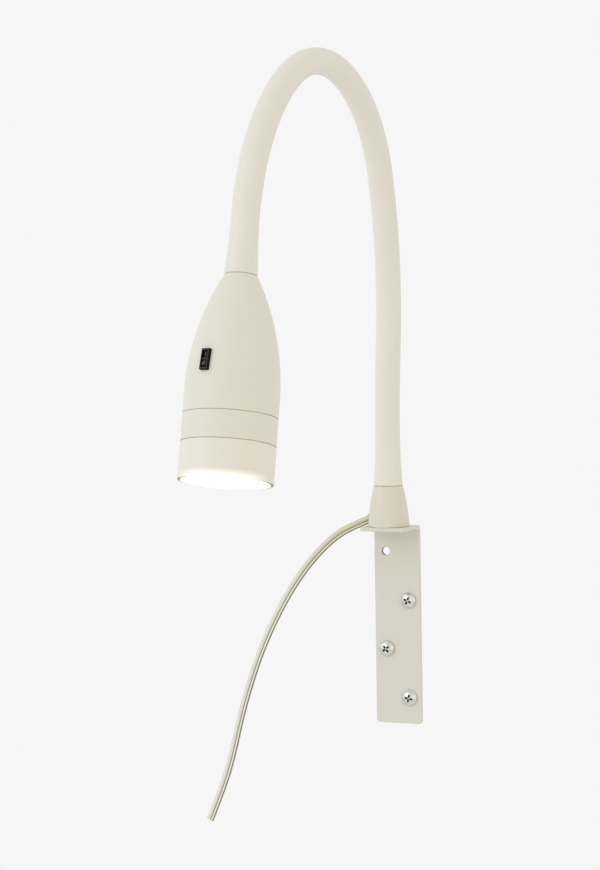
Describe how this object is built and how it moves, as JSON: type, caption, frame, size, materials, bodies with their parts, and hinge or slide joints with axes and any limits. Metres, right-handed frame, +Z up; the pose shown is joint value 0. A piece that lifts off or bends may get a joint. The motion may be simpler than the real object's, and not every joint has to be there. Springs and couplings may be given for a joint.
{
  "type": "wall reading lamp",
  "caption": "Small cream wall reading lamp on a flexible gooseneck arm, with a bullet head, rocker switch and screwed strip bracket.",
  "frame": {"origin": "centre of the wall plate's back face, in the plane of the wall", "axes": "+Z up the wall, -Y out of the wall into the room, +X to the right seen from the room"},
  "size_m": [0.1278, 0.2449, 0.3972],
  "materials": {
    "cream_paint": "satin",
    "bracket_paint": "satin",
    "cream_sleeve": "satin",
    "zinc_steel": "satin",
    "turned_steel": "satin",
    "spring_steel": "satin",
    "grommet_rubber": "matte",
    "wire_insulation": "satin",
    "clear_cord": "gloss",
    "frosted_lens": "satin",
    "silvered_plastic": "polished",
    "white_board": "matte",
    "led_ceramic": "satin",
    "bare_aluminium": "satin",
    "green_board": "satin",
    "white_plastic": "satin",
    "capacitor_can": "satin",
    "ferrite": "matte",
    "black_plastic": "satin",
    "tinned_brass": "satin"
  },
  "bodies": {
    "base": {"wall_bracket": "bracket_paint", "wall_screws": "zinc_steel", "base_cone": "cream_paint", "cord_grommet": "grommet_rubber", "shelf_screw": "zinc_steel", "foot_ferrule": "turned_steel", "inlet_wires": "wire_insulation", "cord": "clear_cord", "arm_sleeve_1": "cream_sleeve", "arm_core_1": "spring_steel", "arm_wires_1": "wire_insulation"},
    "arm_link_2": {"arm_sleeve_2": "cream_sleeve", "arm_core_2": "spring_steel", "arm_wires_2": "wire_insulation"},
    "arm_link_3": {"arm_sleeve_3": "cream_sleeve", "arm_core_3": "spring_steel", "arm_wires_3": "wire_insulation"},
    "arm_link_4": {"arm_sleeve_4": "cream_sleeve", "arm_core_4": "spring_steel", "arm_wires_4": "wire_insulation"},
    "arm_link_5": {"arm_sleeve_5": "cream_sleeve", "arm_core_5": "spring_steel", "arm_wires_5": "wire_insulation"},
    "arm_link_6": {"arm_sleeve_6": "cream_sleeve", "arm_core_6": "spring_steel", "arm_wires_6": "wire_insulation"},
    "arm_link_7": {"arm_sleeve_7": "cream_sleeve", "arm_core_7": "spring_steel", "arm_wires_7": "wire_insulation"},
    "lamp_head": {"arm_sleeve_8": "cream_sleeve", "arm_core_8": "spring_steel", "arm_wires_8": "wire_insulation", "head_ferrule": "turned_steel", "neck_nut": "zinc_steel", "head_shell": "cream_paint", "lamp_ring": "cream_paint", "front_ring": "cream_paint", "lens": "frosted_lens", "reflector": "silvered_plastic", "led_board": "white_board", "led_chip": "led_ceramic", "heat_sink": "bare_aluminium", "board_screws": "zinc_steel", "driver_board": "green_board", "driver_holder": "white_plastic", "driver_capacitor": "capacitor_can", "driver_inductor": "ferrite", "switch_housing": "black_plastic", "switch_terminals": "tinned_brass", "head_wires": "wire_insulation", "led_wires": "wire_insulation"},
    "rocker": {"switch_rocker": "black_plastic"}
  },
  "joints": [
    {"name": "arm_bow_1", "type": "hinge", "parent": "base", "child": "arm_link_2", "pos_m": [0, -0.01027, 0.14259], "axis": [1, 0, 0], "range_deg": [-3, 12]},
    {"name": "arm_side_2", "type": "hinge", "parent": "arm_link_2", "child": "arm_link_3", "pos_m": [0, -0.0094, 0.1879], "axis": [0, 0.9966, 0.0819], "range_deg": [-30, 30]},
    {"name": "arm_bow_3", "type": "hinge", "parent": "arm_link_3", "child": "arm_link_4", "pos_m": [0, -0.01828, 0.23233], "axis": [1, 0, 0], "range_deg": [-30, 10]},
    {"name": "arm_bow_4", "type": "hinge", "parent": "arm_link_4", "child": "arm_link_5", "pos_m": [0, -0.04518, 0.26783], "axis": [1, 0, 0], "range_deg": [-30, 8]},
    {"name": "arm_bow_5", "type": "hinge", "parent": "arm_link_5", "child": "arm_link_6", "pos_m": [0, -0.08777, 0.28192], "axis": [1, 0, 0], "range_deg": [-30, 8]},
    {"name": "arm_side_6", "type": "hinge", "parent": "arm_link_6", "child": "arm_link_7", "pos_m": [0, -0.13157, 0.27225], "axis": [0, -0.4679, 0.8838], "range_deg": [-30, 30]},
    {"name": "arm_bow_7", "type": "hinge", "parent": "arm_link_7", "child": "lamp_head", "pos_m": [0, -0.16606, 0.24326], "axis": [1, 0, 0], "range_deg": [-30, 12]},
    {"name": "switch_rock", "type": "hinge", "parent": "lamp_head", "child": "rocker", "pos_m": [-0.00411, -0.21828, 0.14257], "axis": [0.9781, -0.203, 0.045], "range_deg": [0, 14]}
  ]
}
